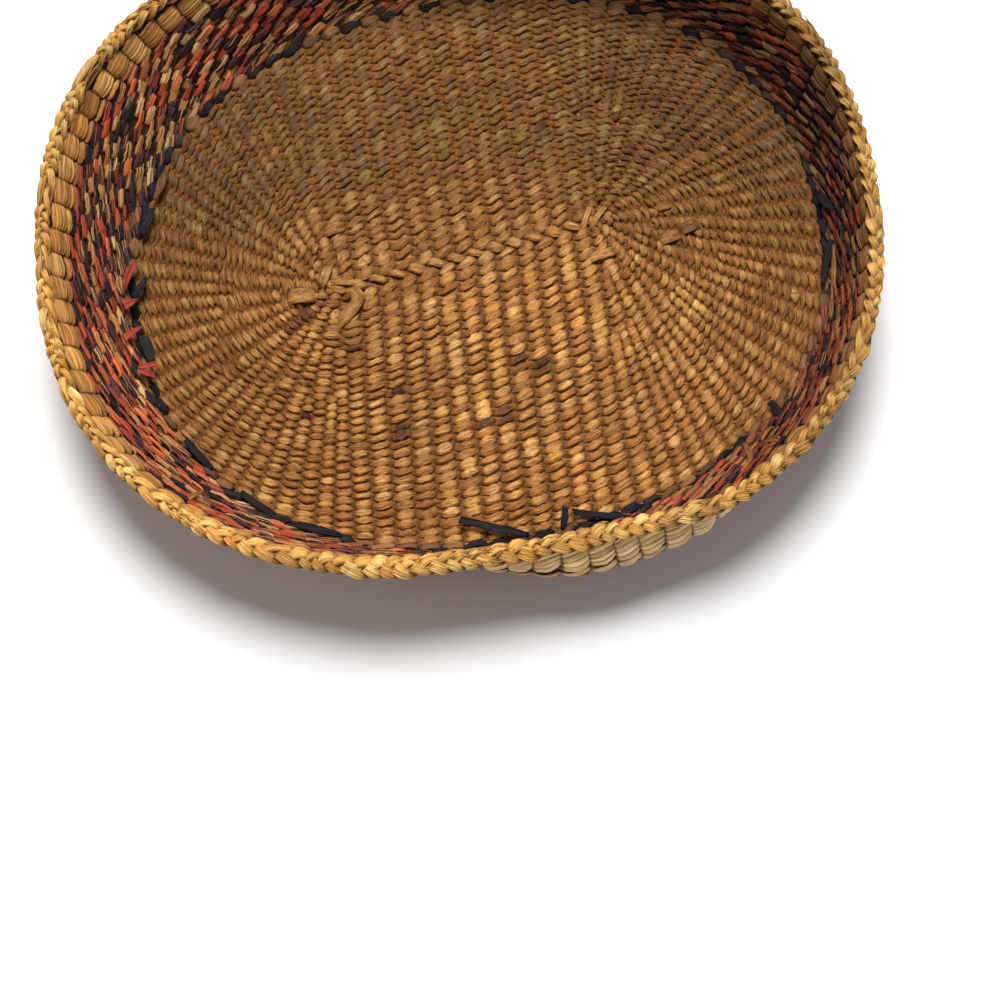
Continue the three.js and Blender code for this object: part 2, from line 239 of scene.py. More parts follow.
# Rows are counted along each rib: coarse start, base, dark course, dyed wall, tan course, wide border course
rows = {
    "coarse": 3,
    "coarsePitch": 0.0039,
    "base": 30,
    "dark": 1,
    "dyed": 12,
    "tan": 1,
    "wide": 1,
    "darkPitch": 0.0029,
    "tanPitch": 0.0020,
    "widePitch": 0.0074,
    "wideRolled": 0.0030,
    "slimRight": 0.0034,
    "slimNear": 0.0028,
    "topGap": 0.0002,
    "sideStart": 0.0014,
    "hubStart": 0.0022,
    "startStep": 29,
    "unevenness": 0.13,
    "fanStarts": (0.0, 0.0085, 0.0195, 0.044),
    "startSpread": 0.16,
    "seed": 11,
}
darkRow = rows["base"]
dyedRow = darkRow + rows["dark"]
tanRow = dyedRow + rows["dyed"]
wideRow = tanRow + rows["tan"]
topRow = wideRow + rows["wide"]


def rowKnots():
    dark = ribBaseRuns + turnLengths / 2
    first = np.where(ribInFan, rows["hubStart"], rows["sideStart"])
    fanCoarse = (dark - first) * rows["coarse"] / rows["base"]
    coarse = first + np.where(ribInFan, fanCoarse, rows["coarse"] * rows["coarsePitch"])
    darkStart = dark - rows["darkPitch"] / 2
    darkEnd = dark + rows["darkPitch"] / 2
    top = ribLengths - rows["topGap"]
    ends = ribLines[:, -1]
    slim = rows["slimRight"] * inStretch(ends, "right") + rows["slimNear"] * inStretch(ends, "near")
    wide = top - rows["widePitch"] + slim - rows["wideRolled"] * inStretch(ends, "knee")
    return np.stack([first, coarse, darkStart, darkEnd, wide - rows["tanPitch"], wide, top], axis=1)


rowMarks = np.array([0, rows["coarse"], darkRow, dyedRow, tanRow, wideRow, topRow], float)
rowDistances = rowKnots()


# Distance along each fan rib at which it is woven in: the ribs are doubled three times as the fan widens
def fanStarts():
    rng = np.random.default_rng(rows["seed"])
    starts = np.zeros(ribTotal)
    for rib in range(ribTotal):
        if ribInFan[rib]:
            offset = ribOffsets[rib]
            level = next((level for level in range(3) if offset % 2 ** (3 - level) == 0), 3)
            starts[rib] = rows["fanStarts"][level] * (1 + rows["startSpread"] * rng.uniform(-1, 1))
    return starts


ribStarts = fanStarts()


# Places where one row meets the ribs, round from its first rib, with one before and two after for the closing
def ringMeetings(row):
    order = (row * rows["startStep"] + np.arange(ribTotal)) % ribTotal
    found = {"point": [], "normal": [], "onward": [], "pitch": []}
    for rib in order:
        level = row + 0.5 + rows["unevenness"] * unevenness(rowWaves, rib, row)
        below, distance, above = np.interp([level - 0.5, level, level + 0.5], rowMarks, rowDistances[rib])
        if distance < ribStarts[rib]:
            continue
        point, normal = onRib(rib, distance)
        found["point"].append(point)
        found["normal"].append(normal)
        found["onward"].append(unit(onRib(rib, above)[0] - onRib(rib, below)[0]))
        found["pitch"].append(above - below)
    ring = {key: np.array([value[-1], *value, value[0], value[1]]) for key, value in found.items()}
    ring["row"] = row
    ring["count"] = len(found["point"])
    return ring


# How strands are made: flat bundles, thinner where they narrow, and loose straws that taper to their ends
make = {
    "bundleCurve": 0.7,
    "thinnest": 0.55,
    "seamReach": 1e-7,
    "taperCurve": 1.3,
    "slantCurve": 2,
}


# Closed outline of a strand: an ellipse, or a bundle of straws lying side by side
def strandOutline(style):
    straws = style.get("straws", 1)
    angles = np.linspace(0, 2 * np.pi, style["sides"] + 1) - np.pi / 2
    x, y = np.cos(angles), np.sin(angles)
    if straws == 1:
        return x, y
    cut = 0.5 - 0.5 * np.cos(2 * np.pi * straws * (x + 1) / 2)
    return x, np.sign(y) * np.abs(y) ** make["bundleCurve"] * (1 - style["groove"] * (1 - cut))


# Grids bent into strands along their lines, in one mesh, worn flat where the basket stands
def bendStrands(name, strands, outline):
    outlineX, outlineY = outline
    sides = len(outlineX) - 1
    grid = bmesh.new()
    grid.loops.layers.uv.new("strandMap")
    for strand in strands:
        bmesh.ops.create_grid(grid, x_segments=len(strand["centre"]) - 1, y_segments=sides, size=1)
    mesh = bpy.data.meshes.new(name)
    grid.to_mesh(mesh)
    grid.free()
    total = len(mesh.vertices)
    places = np.zeros(total * 3)
    mesh.vertices.foreach_get("co", places)
    places = places.reshape(-1, 3)
    alongMap, aroundMap = np.zeros(total), np.zeros(total)
    values = {key: np.zeros(total) for key in strands[0]["values"]}
    offset = 0
    for strand in strands:
        count = len(strand["centre"])
        span = slice(offset, offset + count * (sides + 1))
        along = np.rint((places[span, 0] + 1) / 2 * (count - 1)).astype(int)
        side = np.rint((places[span, 1] + 1) / 2 * sides).astype(int)
        wide = (strand["halfWidth"][along] * outlineX[side])[:, None]
        deep = (strand["halfDepth"][along] * outlineY[side])[:, None]
        places[span] = strand["centre"][along] + wide * strand["across"][along]
        places[span] += deep * strand["outward"][along]
        steps = np.linalg.norm(np.diff(strand["centre"], axis=0), axis=1)
        alongMap[span] = np.concatenate([[0], np.cumsum(steps)])[along]
        aroundMap[span] = side / sides
        for key in values:
            values[key][span] = strand["values"][key][along]
        offset = span.stop
    places[:, 2] = np.maximum(places[:, 2], shape["standLevel"])
    mesh.vertices.foreach_set("co", places.ravel())
    corners = np.zeros(len(mesh.loops), int)
    mesh.loops.foreach_get("vertex_index", corners)
    strandMap = np.stack([alongMap[corners], aroundMap[corners]], axis=1)
    mesh.uv_layers["strandMap"].data.foreach_set("uv", strandMap.ravel())
    for key, value in values.items():
        mesh.attributes.new(key, "FLOAT", "POINT").data.foreach_set("value", value)
    body = bmesh.new()
    body.from_mesh(mesh)
    seam = [vert for vert in body.verts if vert.is_boundary]
    bmesh.ops.remove_doubles(body, verts=seam, dist=make["seamReach"])
    bmesh.ops.holes_fill(body, edges=[edge for edge in body.edges if edge.is_boundary], sides=sides)
    bmesh.ops.recalc_face_normals(body, faces=body.faces[:])
    body.to_mesh(mesh)
    body.free()
    mesh.shade_smooth()
    piece = bpy.data.objects.new(name, mesh)
    scene.collection.objects.link(piece)
    return piece


def lerp(values, index, share):
    following = np.minimum(index + 1, len(values) - 1)
    if values.ndim == 2:
        share = share[:, None]
    return values[index] * (1 - share) + values[following] * share


# Two strands twisted round the ribs and each other, one half turn in each space between ribs
def twinedRing(ring, style, rng, dyes=None):
    count, steps = ring["count"], style["steps"]
    sampleNumber = np.arange(-1, count * steps + 2)
    spot = sampleNumber / steps
    index = np.floor(spot).astype(int)
    share = spot - index
    base = lerp(ring["point"], index + 1, share)
    normal = unit(lerp(ring["normal"], index + 1, share))
    onward = unit(lerp(ring["onward"], index + 1, share))
    pitch = lerp(ring["pitch"], index + 1, share)
    halfTurns = spot + style.get("stagger", 0) * (ring["row"] % 2)
    before = np.floor(halfTurns).astype(int)
    part = halfTurns - before
    nearest = np.rint(halfTurns).astype(int)
    lean = np.interp(base[:, 1], style.get("leanAt", (0,)), style["lean"])
    draws = {key: rng.uniform(-1, 1, 2 * count) for key in ("width", "rise", "shift")}
    frayDraws = rng.uniform(-1, 1, 2 * count * steps)
    shades = {key: rng.uniform(0, 1, 2 * count) for key in ("tone", "hue")}
    shades.update(dyes(2 * count) if dyes else {})
    home = ring["point"][np.clip(np.rint(spot).astype(int) + 1, 0, count + 2)]
    strands = []
    for which in range(2):
        # An odd number of half turns joins the end of each strand to the start of the other
        def stitch(number):
            return (which * count + number) % (2 * count) if count % 2 else which * count + number % count

        def eased(values):
            return values[stitch(before)] * (1 - part) + values[stitch(before + 1)] * part

        phase = np.pi * (halfTurns + which)
        crest = np.cos(phase)
        height = np.abs(crest) ** style["flatness"]
        lift = np.sign(crest) * height * (style["rise"] + style["riseSpread"] * eased(draws["rise"]))
        crossing = np.minimum(lean, style["crossing"])
        ripple = (lean - crossing) / 4
        sweep = (crossing + ripple) * np.sin(phase) + ripple * np.sin(3 * phase)
        slide = style["shiftSpread"] * eased(draws["shift"]) * np.abs(crest) - sweep * pitch
        centre = base + normal * lift[:, None] + onward * slide[:, None]
        travel = unit(np.gradient(centre, axis=0))
        across = unit(onward - travel * np.sum(onward * travel, axis=1, keepdims=True))
        swell = style["pinch"] + (1 - style["pinch"]) * np.abs(crest) ** style["taper"]
        ragged = 1 + style["fray"] * frayDraws[stitch(sampleNumber // steps) * steps + sampleNumber % steps]
        uneven = 1 + style["widthSpread"] * eased(draws["width"])
        width = style["fill"] * pitch / 2 * swell * uneven * ragged
        thickness = make["thinnest"] + (1 - make["thinnest"]) * swell
        values = {key: value[stitch(nearest)] for key, value in shades.items()}
        # Mask for the painted shade where the strand dives between the ribs
        values["dive"] = 1 - np.abs(crest)
        strand = {"centre": centre, "across": across, "outward": np.cross(travel, across), "halfWidth": width,
                  "halfDepth": style["depth"] / 2 * thickness, "home": home}
        trimmed = {key: value[1:-1] for key, value in strand.items()}
        trimmed["values"] = {key: value[1:-1] for key, value in values.items()}
        strands.append(trimmed)
    return strands


# Smooth line through a few points given in millimetres
def smoothLine(points, count):
    spots = np.array(points) / perMetre
    spots = np.concatenate([[2 * spots[0] - spots[1]], spots, [2 * spots[-1] - spots[-2]]])
    along = np.linspace(0, len(points) - 1, count)
    index = np.minimum(along.astype(int), len(points) - 2)
    t = (along - index)[:, None]
    a, b, c, d = (spots[index + step] for step in range(4))
    square = 2 * a - 5 * b + 4 * c - d
    cube = 3 * b - a - 3 * c + d
    return 0.5 * (2 * b + (c - a) * t + square * t ** 2 + cube * t ** 3)


# Single straw or cut end of weft, in millimetres: its points, width, tone, how it lies, how its ends narrow
def looseStraw(points, width, depth, tone, hue, roll=0.0, taper=(0.6, 0.6), reach=0.3, slant=(0.0, 0.0),
               count=14):
    centre = smoothLine(points, count)
    travel = unit(np.gradient(centre, axis=0))
    level = unit(np.cross(upward, travel))
    rise = np.cross(travel, level)
    turn = math.radians(roll)
    across = level * math.cos(turn) + rise * math.sin(turn)
    share = np.linspace(0, 1, count)
    first = np.clip(1 - share / reach, 0, 1)
    last = np.clip(1 - (1 - share) / reach, 0, 1)
    narrowing = 1
    cut = 0
    for end, endTaper, endSlant in ((first, taper[0], slant[0]), (last, taper[1], slant[1])):
        narrowing = narrowing - (1 - endTaper) * end ** make["taperCurve"]
        cut = cut + endSlant * end ** make["slantCurve"]
    outward = np.cross(travel, across)
    across = across + travel * cut[:, None]
    ones = np.ones(count)
    half = 2 * perMetre  # turns a width in millimetres into half a width in metres
    return {"centre": centre, "across": across, "outward": outward,
            "halfWidth": narrowing * width / half, "halfDepth": ones * depth / half,
            "values": {"tone": ones * tone, "hue": ones * hue, "dive": ones * 0}}


# Node helpers
def addNode(tree, kind, inputs=None, **settings):
    made = tree.nodes.new(kind)
    for key, value in settings.items():
        setattr(made, key, value)
    for key, value in (inputs or {}).items():
        if isinstance(value, bpy.types.NodeSocket):
            tree.links.new(value, made.inputs[key])
        else:
            made.inputs[key].default_value = value
    return made


def math1(tree, operation, value):
    return addNode(tree, "ShaderNodeMath", {0: value}, operation=operation).outputs[0]


def math2(tree, operation, first, second):
    return addNode(tree, "ShaderNodeMath", {0: first, 1: second}, operation=operation).outputs[0]


def mapRange(tree, value, low, high, toLow, toHigh):
    inputs = {"Value": value, "From Min": low, "From Max": high, "To Min": toLow, "To Max": toHigh}
    return addNode(tree, "ShaderNodeMapRange", inputs).outputs[0]


def mixColour(tree, blend, factor, first, second):
    inputs = {0: factor, 6: first, 7: second}  # the colour sockets of the Mix node
    return addNode(tree, "ShaderNodeMix", inputs, data_type="RGBA", blend_type=blend).outputs[2]


def noiseAt(tree, spot, scale, detail, roughness=0.5):
    inputs = {"Vector": spot, "Scale": scale, "Detail": detail, "Roughness": roughness}
    return addNode(tree, "ShaderNodeTexNoise", inputs).outputs["Fac"]


def ramp(tree, factor, stops, interpolation="LINEAR"):
    made = addNode(tree, "ShaderNodeValToRGB", {"Fac": factor})
    made.color_ramp.interpolation = interpolation
    elements = made.color_ramp.elements
    while len(elements) < len(stops):
        elements.new(0.5)
    for element, (position, colour) in zip(elements, stops):
        element.position = position
        element.color = (*colour, 1)
    return made.outputs["Color"]


def attribute(tree, name):
    return addNode(tree, "ShaderNodeAttribute", attribute_name=name).outputs["Fac"]


number = "NodeSocketFloat"
colourKind = "NodeSocketColor"


def strandParts(tree):
    strandMap = addNode(tree, "ShaderNodeUVMap", uv_map="strandMap").outputs["UV"]
    return addNode(tree, "ShaderNodeSeparateXYZ", {"Vector": strandMap}).outputs


def newGroup(name, inputs, outputs):
    group = bpy.data.node_groups.new(name, "ShaderNodeTree")
    for label, kind, default in inputs:
        group.interface.new_socket(label, in_out="INPUT", socket_type=kind).default_value = default
    for label, kind in outputs:
        group.interface.new_socket(label, in_out="OUTPUT", socket_type=kind)
    return group, group.nodes.new("NodeGroupInput"), group.nodes.new("NodeGroupOutput")


# Fine fibres along a strand
fibreLook = {"seedStep": 37.0, "detail": 3.0, "roughness": 0.6, "range": (0.36, 0.64)}


def fibreGroup():
    inputs = [("Along", number, 90.0), ("Around", number, 9.0), ("Seed", number, 0.0)]
    group, given, result = newGroup("grassFibres", inputs, [("Fibre", number)])
    parts = strandParts(group)
    along = math2(group, "MULTIPLY", parts["X"], given.outputs["Along"])
    around = math2(group, "MULTIPLY", parts["Y"], given.outputs["Around"])
    seed = math2(group, "MULTIPLY", given.outputs["Seed"], fibreLook["seedStep"])
    spot = addNode(group, "ShaderNodeCombineXYZ", {"X": along, "Y": around, "Z": seed}).outputs[0]
    noise = noiseAt(group, spot, 1.0, fibreLook["detail"], fibreLook["roughness"])
    fibre = mapRange(group, noise, *fibreLook["range"], 0.0, 1.0)
    group.links.new(fibre, result.inputs["Fibre"])
    return group


# Crown of a strand: 1 along its two faces, 0 along its sides; its face on the outside of the basket; and the
# straws of a bundle: 1 on each straw, 0 in the lines between them
crownLook = {"outside": (0.2, -0.3), "straw": (1.0, 0.2)}


def crownGroup():
    outputs = [(label, number) for label in ("Crown", "Outside", "Straw")]
    group, given, result = newGroup("strandCrown", [("Straws", number, 1.0)], outputs)
    angle = math2(group, "MULTIPLY", strandParts(group)["Y"], 2 * math.pi)
    wave = math1(group, "COSINE", angle)
    aside = math2(group, "ADD", math1(group, "SINE", angle), 1.0)
    bundle = math2(group, "MULTIPLY", math2(group, "MULTIPLY", aside, given.outputs["Straws"]), math.pi)
    straw = mapRange(group, math1(group, "COSINE", bundle), *crownLook["straw"], 0.0, 1.0)
    outside = mapRange(group, wave, *crownLook["outside"], 0.0, 1.0)
    for label, value in (("Crown", math1(group, "ABSOLUTE", wave)), ("Outside", outside), ("Straw", straw)):
        group.links.new(value, result.inputs[label])
    return group


# Painted shade and painted light: browner or paler towards the far side and the two ends; and broad patches
# and small stains of age
paintedShadeAndStainsLook = {
    "far": (-0.02, 0.04), "left": (-0.10, -0.01), "right": (0.03, 0.13), "detail": 2.0,
    "patchScale": 34.0, "patches": (0.3, 0.7, 0.78, 1.16),
    "stainScale": 150.0, "stains": (0.66, 0.76, 1.0, 0.45),
}


def paintedShadeAndStainsGroup():
    ends = [(label, number, 1.0) for label in ("Far", "Left", "Right")]
    group, given, result = newGroup("grassPaintedShadeAndStains", [("Colour", colourKind, (1, 1, 1, 1)), *ends],
                                    [("Colour", colourKind)])
    spot = addNode(group, "ShaderNodeTexCoord").outputs["Object"]
    parts = addNode(group, "ShaderNodeSeparateXYZ", {"Vector": spot}).outputs
    farShade = mapRange(group, parts["Y"], *paintedShadeAndStainsLook["far"], 1.0, given.outputs["Far"])
    leftShade = mapRange(group, parts["X"], *paintedShadeAndStainsLook["left"], given.outputs["Left"], 1.0)
    rightShade = mapRange(group, parts["X"], *paintedShadeAndStainsLook["right"], 1.0, given.outputs["Right"])
    patches = noiseAt(group, spot, paintedShadeAndStainsLook["patchScale"], paintedShadeAndStainsLook["detail"])
    patchShade = mapRange(group, patches, *paintedShadeAndStainsLook["patches"])
    stains = noiseAt(group, spot, paintedShadeAndStainsLook["stainScale"], paintedShadeAndStainsLook["detail"])
    stainShade = mapRange(group, stains, *paintedShadeAndStainsLook["stains"])
    endShade = math2(group, "MULTIPLY", math2(group, "MULTIPLY", farShade, leftShade), rightShade)
    shade = math2(group, "MULTIPLY", endShade, math2(group, "MULTIPLY", patchShade, stainShade))
    grey = addNode(group, "ShaderNodeCombineColor", {0: shade, 1: shade, 2: shade}).outputs[0]
    shaded = mixColour(group, "MULTIPLY", 1.0, given.outputs["Colour"], grey)
    group.links.new(shaded, result.inputs["Colour"])
    return group


fibres = fibreGroup()
crowns = crownGroup()
paintedShadeAndStains = paintedShadeAndStainsGroup()
fibreColours = [(0.0, (0.38, 0.31, 0.26)), (0.5, (0.95, 0.93, 0.9)), (1.0, (1.3, 1.32, 1.3))]
# Painted shade along the sides of strands, with a slight painted highlight on their crowns
paintedSideShades = [(0.0, (0.46, 0.35, 0.27)), (0.4, (0.72, 0.64, 0.57)), (0.9, (1.05, 1.05, 1.05))]
# Painted shade in the lines between straws
strawLineShades = [(0.0, (0.34, 0.22, 0.14)), (1.0, (1.0, 1.0, 1.0))]
plainTints = [(0.0, (1.0, 1.0, 1.0)), (0.76, (1.08, 0.97, 0.62)), (0.83, (1.06, 0.93, 0.95)),
              (0.89, (1.1, 1.12, 0.74)), (0.94, (0.9, 0.93, 0.92)), (0.97, (1.12, 1.16, 1.22))]
grassLook = {
    "streaks": (0.5, 0.62), "rougher": 0.12, "smoother": 0.08, "bumpDistance": 0.0005, "specular": 0.3,
}


def fibreNoise(tree, along, around, seed):
    inputs = {"Along": along, "Around": around, "Seed": seed}
    return addNode(tree, "ShaderNodeGroup", inputs, node_tree=fibres).outputs["Fibre"]


# Grass material: stitch tones on a ramp, fibres, painted shade along the sides of strands, painted shade and
# light towards the far side and the ends with stains of age, a pale outside, painted shade in the lines
# between straws, and painted shade where strands dive between ribs
def grassMaterial(name, settings):
    material = bpy.data.materials.new(name)
    material.use_nodes = True
    tree = material.node_tree
    tree.nodes.clear()
    hue = attribute(tree, "hue")
    fibreValue = fibreNoise(tree, settings["fibreAlong"], settings["fibreAround"], hue)
    fibreShade = ramp(tree, fibreValue, fibreColours)
    blend = settings.get("blend", "LINEAR")
    colour = ramp(tree, attribute(tree, settings.get("toneFrom", "tone")), settings["stops"], blend)
    if "underTone" in settings:
        under = ramp(tree, attribute(tree, settings["underTone"]), settings["stops"], blend)
        streak = fibreNoise(tree, settings["streakAlong"], settings["streakAround"], hue)
        streaks = mapRange(tree, streak, *grassLook["streaks"], 0.0, 1.0)
        colour = mixColour(tree, "MIX", streaks, colour, under)
    if "tints" in settings:
        tints = ramp(tree, hue, plainTints, "CONSTANT")
        colour = mixColour(tree, "MULTIPLY", settings["tints"], colour, tints)
    colour = mixColour(tree, "MULTIPLY", settings["fibreShade"], colour, fibreShade)
    crown = addNode(tree, "ShaderNodeGroup", {"Straws": settings.get("straws", 1)}, node_tree=crowns).outputs
    # Painted shade: strands darker along their sides and a little lighter on their crowns
    sideShade = ramp(tree, crown["Crown"], paintedSideShades)
    colour = mixColour(tree, "MULTIPLY", settings["sideShade"], colour, sideShade)
    # Painted shade and painted light towards the far side and the two ends, with stains of age
    ends = dict(zip(("Far", "Left", "Right"), settings["paintedShadeAndStains"]))
    colour = addNode(tree, "ShaderNodeGroup", {"Colour": colour, **ends}, node_tree=paintedShadeAndStains).outputs["Colour"]
    if "outsideTint" in settings:
        tint, outsideShare, outsideFibre = settings["outsideTint"]
        pale = mixColour(tree, "MULTIPLY", outsideFibre, (*tint, 1), fibreShade)
        outside = math2(tree, "MULTIPLY", crown["Outside"], outsideShare)
        colour = mixColour(tree, "MIX", outside, colour, pale)
    # Painted shade in the lines between the straws of a bundle, stronger on the outside
    if "paintedStrawLineShade" in settings:
        lines = ramp(tree, crown["Straw"], strawLineShades)
        lineShare = mapRange(tree, crown["Outside"], 0.0, 1.0, *settings["paintedStrawLineShade"])
        colour = mixColour(tree, "MULTIPLY", lineShare, colour, lines)
    # Painted shade: strands darker where they dive between the ribs, in the furrows and in the gaps of the
    # braid
    dive = mapRange(tree, attribute(tree, "dive"), settings["diveFrom"], settings["diveTo"], 0.0, 1.0)
    colour = mixColour(tree, "MIX", dive, colour, (*settings["paintedDiveShade"], 1))
    roughness = mapRange(tree, fibreValue, 0.0, 1.0, settings["roughness"] + grassLook["rougher"],
                         settings["roughness"] - grassLook["smoother"])
    relief = {"Height": fibreValue, "Strength": settings["bump"], "Distance": grassLook["bumpDistance"]}
    bump = addNode(tree, "ShaderNodeBump", relief).outputs["Normal"]
    finish = {"Base Color": colour, "Roughness": roughness, "Normal": bump,
              "Specular IOR Level": settings.get("specular", grassLook["specular"])}
    shader = addNode(tree, "ShaderNodeBsdfPrincipled", finish).outputs["BSDF"]
    addNode(tree, "ShaderNodeOutputMaterial", {"Surface": shader})
    return material


# Piece of strands on the root body, with the nodes that it replaces; its slot argument is not used
def addPiece(name, strands, outline, material, slot, *nodes):
    piece = bendStrands(name, strands, outline)
    piece.data.materials.append(material)
    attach(piece, "root")
    if nodes:
        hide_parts(*nodes)


# Base weft, with the places of its dark stitches in millimetres
baseWeft = {
    "seed": 3, "steps": 6, "sides": 12, "straws": 3, "groove": 0.16, "splitRow": 16,
    "rise": 0.0013, "flatness": 1.15, "depth": 0.0020, "fill": 1.04, "pinch": 0.46, "taper": 1.2,
    "fray": 0.14, "leanAt": (-0.10, -0.03, 0.03, 0.10), "lean": (0.18, 0.30, 0.54, 0.60), "crossing": 0.18,
    "widthSpread": 0.32, "riseSpread": 0.0003, "shiftSpread": 0.0003,
    "spots": [(-67.6, -41.9), (-40.3, -28.5), (-25.7, -44.7), (-25.9, -59.7), (17.0, -39.8), (24.3, -40.8),
              (10.4, -57.9), (3.9, -59.2), (-60.2, -51.0), (-58.9, -16.7), (-61.5, -18.4), (-55.0, -15.6),
              (49.7, -17.8)],
    "spotReach": 0.0022, "spotTone": 0.05, "lowestTone": 0.08,
    "material": {
        "fibreAlong": 210.0, "fibreAround": 7.0, "fibreShade": 0.7,
        "tints": 0.6, "sideShade": 0.55, "paintedShadeAndStains": (0.4, 0.66, 0.58),
        "diveFrom": 0.14, "diveTo": 0.62, "paintedDiveShade": (0.27, 0.108, 0.026), "roughness": 0.55, "bump": 0.9,
        "stops": [(0.0, (0.05, 0.018, 0.012)), (0.08, (0.38, 0.150, 0.033)), (0.4, (0.52, 0.230, 0.051)),
                  (0.8, (0.62, 0.297, 0.074)), (1.0, (0.73, 0.40, 0.125))],
    },
}
strawMaterial = grassMaterial("straw", baseWeft["material"])
rng = np.random.default_rng(baseWeft["seed"])
baseOutline = strandOutline(baseWeft)
baseRings = [twinedRing(ringMeetings(row), baseWeft, rng) for row in range(rows["base"])]
spots = np.array(baseWeft["spots"]) / perMetre
for strand in (strand for pair in baseRings for strand in pair):
    reach = np.linalg.norm(strand["home"][:, None, :2] - spots[None], axis=2).min(axis=1)
    tone = baseWeft["lowestTone"] + (1 - baseWeft["lowestTone"]) * strand["values"]["tone"]
    strand["values"]["tone"] = np.where(reach < baseWeft["spotReach"], tone * baseWeft["spotTone"], tone)
split = baseWeft["splitRow"]
zones = (("Inner", slice(None, split), "base_row_0"), ("Outer", slice(split, None), "base_row_1"))
for which, label in enumerate(("first", "second")):
    strands = [pair[which] for pair in baseRings]
    for zone, span, start in zones:
        name = label + zone + "BaseStrands"
        addPiece(name, strands[span], baseOutline, strawMaterial, "straw", *nodesLike(start))

# Starter strip along the spine, twisted the other way
starter = {
    "seed": 29, "steps": 8, "width": 0.0034,
    "rise": 0.0017, "flatness": 0.8, "depth": 0.0017, "fill": 1.05, "pinch": 0.4, "taper": 0.9, "fray": 0.1,
    "lean": (0.45,), "crossing": 0.25, "paler": 0.45, "past": 2,
    "widthSpread": 0.2, "riseSpread": 0.0002, "shiftSpread": 0.0002,
}


def starterStrands():
    crossings = shape["sideRibs"] + starter["past"]
    step = shape["spineLength"] / shape["sideRibs"]
    alongs = (np.arange(crossings + 3) - (crossings + 2) / 2) * step  # one before and two after, as in a ring
    points = np.array([spinePoint(along) for along in alongs])
    turn = shape["spineTurn"]
    ones = np.ones((len(points), 1))
    sideways = np.array([-math.sin(turn), math.cos(turn), 0])
    ring = {"point": points, "normal": ones * upward, "onward": ones * sideways,
            "pitch": ones[:, 0] * starter["width"], "row": 0, "count": crossings}
    strands = twinedRing(ring, starter, np.random.default_rng(starter["seed"]))
    for strand in strands:
        strand["values"]["tone"] = starter["paler"] + (1 - starter["paler"]) * strand["values"]["tone"]
    return strands


addPiece("starterStrands", starterStrands(), baseOutline, strawMaterial, "straw", "starter_strip")

# Straws bent over the two hubs, in millimetres: points, width, tone, hue
hubStraws = {
    "depth": 0.6, "sides": 20, "straws": 4, "groove": 0.35,
    "places": [
        ([(-48.5, -3.4, 4.4), (-45.0, -3.7, 6.6), (-39.5, -4.5, 6.8), (-36.0, -5.0, 4.6)], 2.8, 0.62, 0.65),
        ([(-42.5, -5.6, 4.6), (-38.2, -8.3, 6.7), (-38.4, -12.6, 6.6), (-43.4, -17.6, 6.0),
          (-46.0, -20.0, 4.2)], 4.6, 0.42, 0.66),
        ([(-62.5, -7.6, 4.2), (-60.5, -7.8, 6.4), (-54.5, -7.9, 6.6), (-52.0, -7.9, 4.4)], 5.6, 0.52, 0.66),
        ([(-50.3, -5.0, 4.4), (-49.4, -3.2, 6.6), (-47.6, 0.8, 6.7), (-46.6, 3.0, 4.6)], 3.4, 0.97, 0.96),
        ([(-48.6, 15.4, 4.0), (-46.0, 16.2, 6.4), (-42.2, 17.1, 6.4), (-40.2, 17.6, 4.2)], 4.6, 0.5, 0.3),
        ([(44.2, 7.4, 4.4), (45.0, 9.6, 6.6), (47.2, 14.8, 6.7), (48.4, 17.6, 4.6)], 2.2, 0.95, 0.92),
        ([(47.4, 8.0, 4.4), (48.6, 10.2, 6.6), (52.2, 14.6, 6.6), (54.0, 16.8, 4.4)], 2.2, 0.9, 0.92),
        ([(45.0, -3.4, 4.4), (47.4, -2.7, 6.4), (53.6, -1.4, 6.4), (56.0, -0.9, 4.2)], 3.6, 0.55, 0.3),
        ([(71.0, 1.3, 3.8), (73.0, 1.9, 6.0), (77.6, 3.1, 6.0), (79.6, 3.6, 3.8)], 4.4, 0.35, 0.3),
        ([(79.0, 4.6, 3.8), (80.8, 5.2, 5.9), (84.6, 6.4, 5.9), (86.4, 7.0, 3.6)], 4.4, 0.15, 0.95),
        ([(70.6, 13.2, 4.0), (72.8, 13.9, 5.9), (76.0, 14.8, 5.9), (78.0, 15.4, 3.8)], 3.2, 0.7, 0.85),
    ],
}
hubStrands = [looseStraw(points, width, hubStraws["depth"], tone, hue)
              for points, width, tone, hue in hubStraws["places"]]
hubOutline = strandOutline(hubStraws)
addPiece("hubStraws", hubStrands, hubOutline, strawMaterial, "straw", "right_hub_stitch", "left_hub_stitch")
print("starter strip and hub straws")

# Dark course at the turn, with the places where it has faded: x, y, reach
darkWeft = {
    "seed": 5, "steps": 6, "sides": 8,
    "rise": 0.0013, "flatness": 0.7, "depth": 0.0014, "fill": 1.2, "pinch": 0.55, "taper": 0.8, "fray": 0.15,
    "lean": (0.25,), "crossing": 0.2,
    "widthSpread": 0.3, "riseSpread": 0.0003, "shiftSpread": 0.0004,
    "material": {
        "fibreAlong": 120.0, "fibreAround": 8.0, "fibreShade": 0.5,
        "sideShade": 0.5, "paintedShadeAndStains": (1.0, 1.0, 1.0), "specular": 0.15,
        "diveFrom": 0.5, "diveTo": 1.0, "paintedDiveShade": (0.01, 0.008, 0.009), "roughness": 0.6, "bump": 0.6,
        "stops": [(0.0, (0.010, 0.010, 0.013)), (0.52, (0.017, 0.016, 0.022)), (0.6, (0.050, 0.034, 0.030)),
                  (0.72, (0.16, 0.078, 0.036)), (1.0, (0.34, 0.16, 0.055))],
    },
    "faded": [(-0.028, -0.099, 0.019), (0.1187, -0.0369, 0.020), (0.1010, -0.0600, 0.014)],
    "fadedSpread": 0.3,
}
